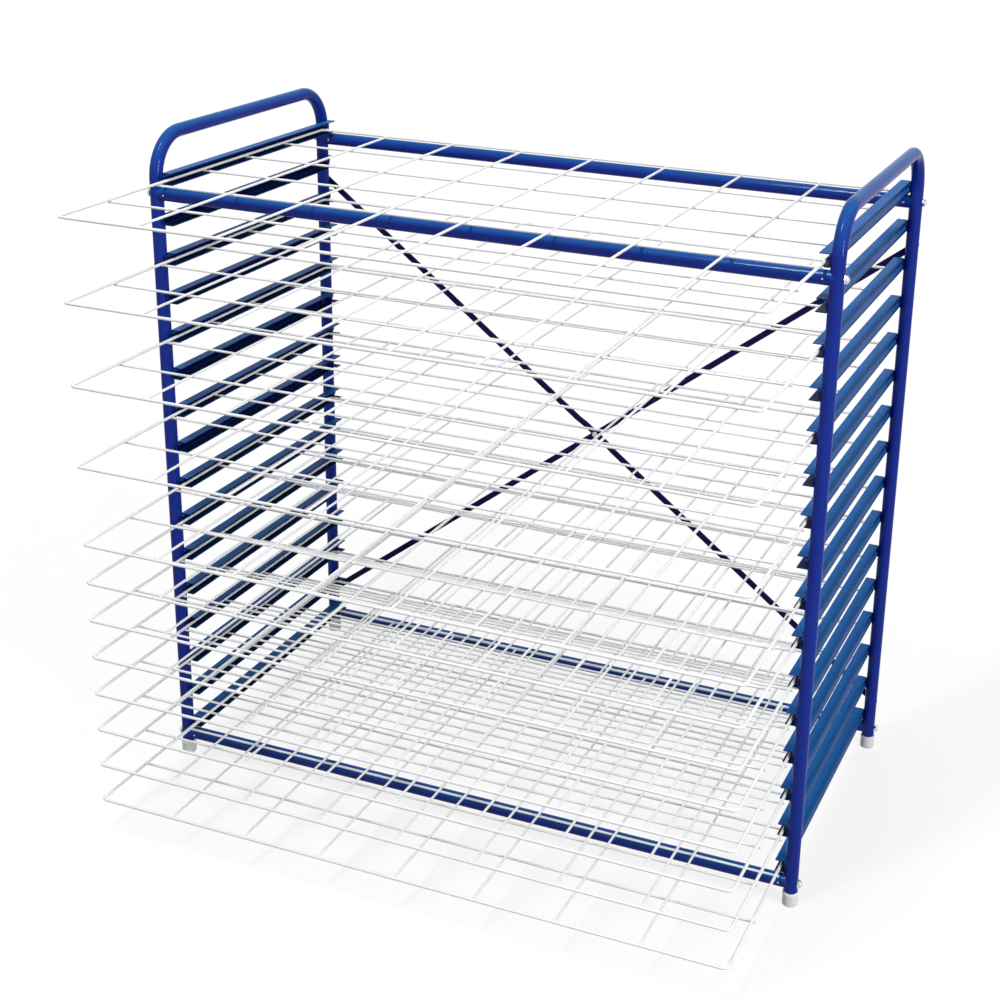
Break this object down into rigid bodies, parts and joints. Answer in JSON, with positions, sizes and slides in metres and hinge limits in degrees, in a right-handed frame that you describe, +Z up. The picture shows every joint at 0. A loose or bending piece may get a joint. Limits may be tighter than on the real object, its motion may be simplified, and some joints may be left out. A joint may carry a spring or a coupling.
{
  "type": "art drying rack",
  "caption": "Tabletop art drying rack: blue tube end frames with carrying handles, folded side runners and white wire shelves that slide out; cross-braced back",
  "frame": {"origin": "on the floor, under the centre of the overall width and depth", "axes": "+Z up; the shelves overhang and slide out towards -Y, the front; +X is the rack's right seen from the front"},
  "size_m": [0.6708, 0.4776, 0.6538],
  "materials": {
    "frame_paint": "gloss powder coat, royal blue",
    "brace_paint": "satin powder coat, navy",
    "shelf_wire": "gloss white powder coat over welded wire",
    "foot_plastic": "moulded white plastic",
    "bright_fastener": "bright plated steel"
  },
  "bodies": {
    "rack": {"brace_rivet": "brace_paint", "brace_screws": "bright_fastener", "cap_nuts": "bright_fastener", "crossbar_bolts": "bright_fastener", "falling_brace": "brace_paint", "left_end_frame": "frame_paint", "left_front_foot_cap": "foot_plastic", "left_rear_foot_cap": "foot_plastic", "left_runner_01": "frame_paint", "left_runner_02": "frame_paint", "left_runner_03": "frame_paint", "left_runner_04": "frame_paint", "left_runner_05": "frame_paint", "left_runner_06": "frame_paint", "left_runner_07": "frame_paint", "left_runner_08": "frame_paint", "left_runner_09": "frame_paint", "left_runner_10": "frame_paint", "left_runner_11": "frame_paint", "left_runner_12": "frame_paint", "left_runner_13": "frame_paint", "left_runner_14": "frame_paint", "left_runner_15": "frame_paint", "left_runner_16": "frame_paint", "lower_front_crossbar": "frame_paint", "lower_rear_crossbar": "frame_paint", "right_end_frame": "frame_paint", "right_front_foot_cap": "foot_plastic", "right_rear_foot_cap": "foot_plastic", "right_runner_01": "frame_paint", "right_runner_02": "frame_paint", "right_runner_03": "frame_paint", "right_runner_04": "frame_paint", "right_runner_05": "frame_paint", "right_runner_06": "frame_paint", "right_runner_07": "frame_paint", "right_runner_08": "frame_paint", "right_runner_09": "frame_paint", "right_runner_10": "frame_paint", "right_runner_11": "frame_paint", "right_runner_12": "frame_paint", "right_runner_13": "frame_paint", "right_runner_14": "frame_paint", "right_runner_15": "frame_paint", "right_runner_16": "frame_paint", "rising_brace": "brace_paint", "upper_front_crossbar": "frame_paint", "upper_rear_crossbar": "frame_paint"},
    "shelf_01_body": {"shelf_01": "shelf_wire"},
    "shelf_03_body": {"shelf_03": "shelf_wire"},
    "shelf_05_body": {"shelf_05": "shelf_wire"},
    "shelf_07_body": {"shelf_07": "shelf_wire"},
    "shelf_09_body": {"shelf_09": "shelf_wire"},
    "shelf_10_body": {"shelf_10": "shelf_wire"},
    "shelf_11_body": {"shelf_11": "shelf_wire"},
    "shelf_12_body": {"shelf_12": "shelf_wire"},
    "shelf_13_body": {"shelf_13": "shelf_wire"},
    "shelf_14_body": {"shelf_14": "shelf_wire"},
    "shelf_15_body": {"shelf_15": "shelf_wire"},
    "shelf_16_body": {"shelf_16": "shelf_wire"}
  },
  "joints": [
    {"name": "shelf_01_slide", "type": "slide", "parent": "rack", "child": "shelf_01_body", "axis": [0, -1, 0], "range_m": [0, 0.28]},
    {"name": "shelf_03_slide", "type": "slide", "parent": "rack", "child": "shelf_03_body", "axis": [0, -1, 0], "range_m": [0, 0.28]},
    {"name": "shelf_05_slide", "type": "slide", "parent": "rack", "child": "shelf_05_body", "axis": [0, -1, 0], "range_m": [0, 0.28]},
    {"name": "shelf_07_slide", "type": "slide", "parent": "rack", "child": "shelf_07_body", "axis": [0, -1, 0], "range_m": [0, 0.28]},
    {"name": "shelf_09_slide", "type": "slide", "parent": "rack", "child": "shelf_09_body", "axis": [0, -1, 0], "range_m": [0, 0.28]},
    {"name": "shelf_10_slide", "type": "slide", "parent": "rack", "child": "shelf_10_body", "axis": [0, -1, 0], "range_m": [0, 0.28]},
    {"name": "shelf_11_slide", "type": "slide", "parent": "rack", "child": "shelf_11_body", "axis": [0, -1, 0], "range_m": [0, 0.28]},
    {"name": "shelf_12_slide", "type": "slide", "parent": "rack", "child": "shelf_12_body", "axis": [0, -1, 0], "range_m": [0, 0.28]},
    {"name": "shelf_13_slide", "type": "slide", "parent": "rack", "child": "shelf_13_body", "axis": [0, -1, 0], "range_m": [0, 0.28]},
    {"name": "shelf_14_slide", "type": "slide", "parent": "rack", "child": "shelf_14_body", "axis": [0, -1, 0], "range_m": [0, 0.28]},
    {"name": "shelf_15_slide", "type": "slide", "parent": "rack", "child": "shelf_15_body", "axis": [0, -1, 0], "range_m": [0, 0.28]},
    {"name": "shelf_16_slide", "type": "slide", "parent": "rack", "child": "shelf_16_body", "axis": [0, -1, 0], "range_m": [0, 0.28]}
  ]
}
